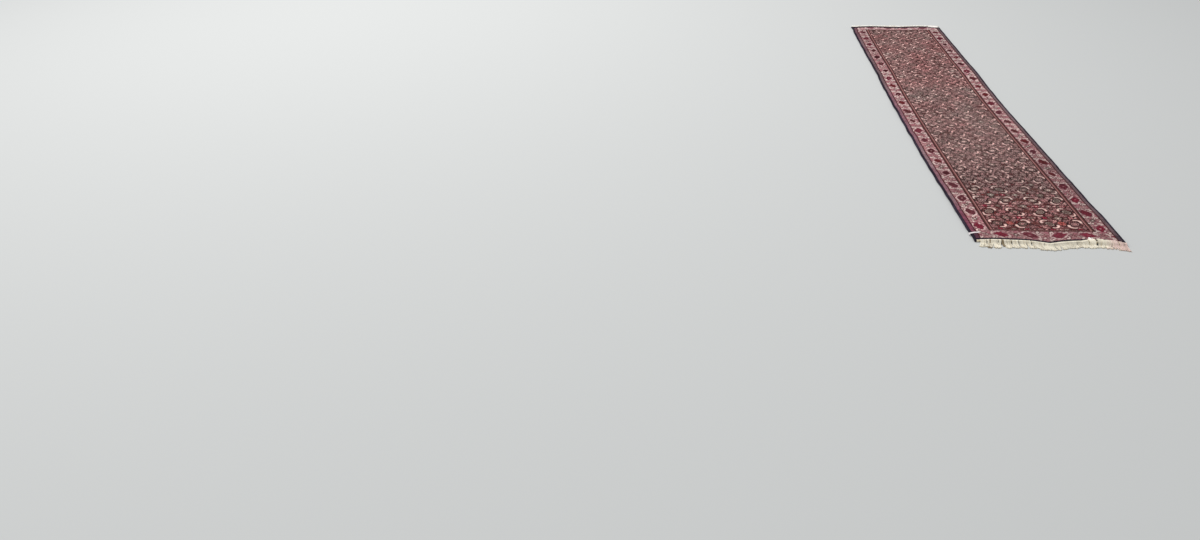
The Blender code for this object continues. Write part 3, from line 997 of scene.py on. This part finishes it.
def make_tape(material):
    """A strip of pale woven tape, a little slanting, over the pile at the left edge and down its outside."""
    low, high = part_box("edge_tape")
    top = high[2] + 0.0004
    flat = np.linspace(high[0], low[0] + TAPE_BEND, 30)
    turn = np.linspace(0.0, np.pi / 2, 9)[1:]
    down = np.linspace(top - TAPE_BEND, low[2], 5)[1:]
    x = np.concatenate([flat, low[0] + TAPE_BEND - TAPE_BEND * np.sin(turn), 0 * down + low[0]])[:, None]
    z = np.concatenate([0 * flat + top, top - TAPE_BEND + TAPE_BEND * np.cos(turn), down])[:, None]
    across = np.linspace(-0.5, 0.5, 9)[None, :]
    slant = 0.28 * (x - low[0]) - 0.014
    y = (low[1] + high[1]) / 2 + (high[1] - low[1]) * across + slant
    z = z + 0.0006 * np.sin(9 * x / 0.046) + 0.0005 * (2 * across) ** 2
    points = np.stack(np.broadcast_arrays(x, y, z), axis=-1)
    colours = np.broadcast_to(linear(TAPE_WHITE), points.shape[:2] + (4,)).copy()
    part = new_mesh("edge_tape", points, grid_faces(*points.shape[:2]), colours, points.copy(), material)
    wall = part.modifiers.new("wall", "SOLIDIFY")
    wall.thickness = TAPE_WALL
    finish_piece(part, "white_tape", "edge_tape")


def build_rug():
    wool = pile_material()
    back = weave_material("knotted_back", 0.9, 0.05, (KNOT, KNOT), 0.0006)
    cotton = weave_material("woven_cotton", 0.92, 0.1, (KNOT, 0.001), 0.0004)
    tape = weave_material("tape_weave", 0.75, 0.1, (0.0008, 0.0008), 0.0002)
    wrapping = yarn_material("wound_wool", 0.95, 0.05)
    yarn = yarn_material("fringe_yarn", 0.95, 0.12)
    pile_pieces = make_pile(wool)
    grounds = make_ground(back)
    selvedges = make_selvedges(wrapping)
    make_end_weaves(cotton)
    make_fringe(yarn, "near", -1, 201, (DUN, IVORY, BLUSHED), near_length, 1.0, 0.014, (4, 9))
    make_fringe(yarn, "far", 1, 202, (OATMEAL, WHITE, WHITE), far_length, 0.0, 0.0, ())
    make_folded_tassel(yarn, "near", -1, 203, 7, 0.8)
    make_folded_tassel(yarn, "far", 1, 204, 96, 1.5)
    make_tape(tape)


# ---------- floor, light and camera

FLOOR_SIZE = 30.0
FLOOR_COLOUR = (0.60, 0.612, 0.615, 1.0)
SKY_COLOUR = (0.97, 0.99, 1.0, 1.0)
SKY_STRENGTH = 0.48
WINDOW_SIZE = (7.0, 5.0)
WINDOW_POWER = 920.0                  # watts
WINDOW_COLOUR = (1.0, 0.985, 0.96)
WINDOW_PLACE = (0.0, 6.0, 9.0)        # before it is turned about the rug
WINDOW_TURN = math.radians(65)
WINDOW_TILT = math.radians(-33.7)
CAMERA_PLACE = (-1.594, -4.944, 1.894)
CAMERA_TURN = math.radians(4.86)      # to the left of the rug's length
CAMERA_TILT = math.radians(31.38)     # downwards
CAMERA_ROLL = math.radians(-1.297)
CAMERA_LENS = 26.82
CAMERA_SENSOR = 36.0


def make_floor():
    bpy.ops.mesh.primitive_plane_add(size=FLOOR_SIZE)
    floor = bpy.context.object
    floor.name = "floor"
    material = bpy.data.materials.new("pale_floor")
    material.use_nodes = True
    shader = material.node_tree.nodes["Principled BSDF"]
    shader.inputs["Base Color"].default_value = FLOOR_COLOUR
    shader.inputs["Roughness"].default_value = 1.0
    shader.inputs["Specular IOR Level"].default_value = 0.0
    floor.data.materials.append(material)


def make_light():
    world = bpy.data.worlds.new("soft_studio")
    world.use_nodes = True
    background = world.node_tree.nodes["Background"]
    background.inputs["Color"].default_value = SKY_COLOUR
    background.inputs["Strength"].default_value = SKY_STRENGTH
    bpy.context.scene.world = world
    lamp = bpy.data.lights.new("window", "AREA")
    lamp.shape = "RECTANGLE"
    lamp.size, lamp.size_y = WINDOW_SIZE
    lamp.energy = WINDOW_POWER
    lamp.color = WINDOW_COLOUR
    window = bpy.data.objects.new("window", lamp)
    window.matrix_world = (
        Matrix.Rotation(WINDOW_TURN, 4, "Z")
        @ Matrix.Translation(WINDOW_PLACE)
        @ Matrix.Rotation(WINDOW_TILT, 4, "X")
    )
    bpy.context.scene.collection.objects.link(window)
    bpy.context.scene.view_settings.view_transform = "Standard"


def make_camera():
    lens = bpy.data.cameras.new("camera")
    lens.sensor_width = CAMERA_SENSOR
    lens.lens = CAMERA_LENS
    camera = bpy.data.objects.new("camera", lens)
    camera.matrix_world = (
        Matrix.Translation(CAMERA_PLACE)
        @ Matrix.Rotation(CAMERA_TURN, 4, "Z")
        @ Matrix.Rotation(math.pi / 2 - CAMERA_TILT, 4, "X")
        @ Matrix.Rotation(CAMERA_ROLL, 4, "Z")
    )
    bpy.context.scene.collection.objects.link(camera)
    bpy.context.scene.camera = camera


make_camera()
build_rug()
make_floor()
make_light()
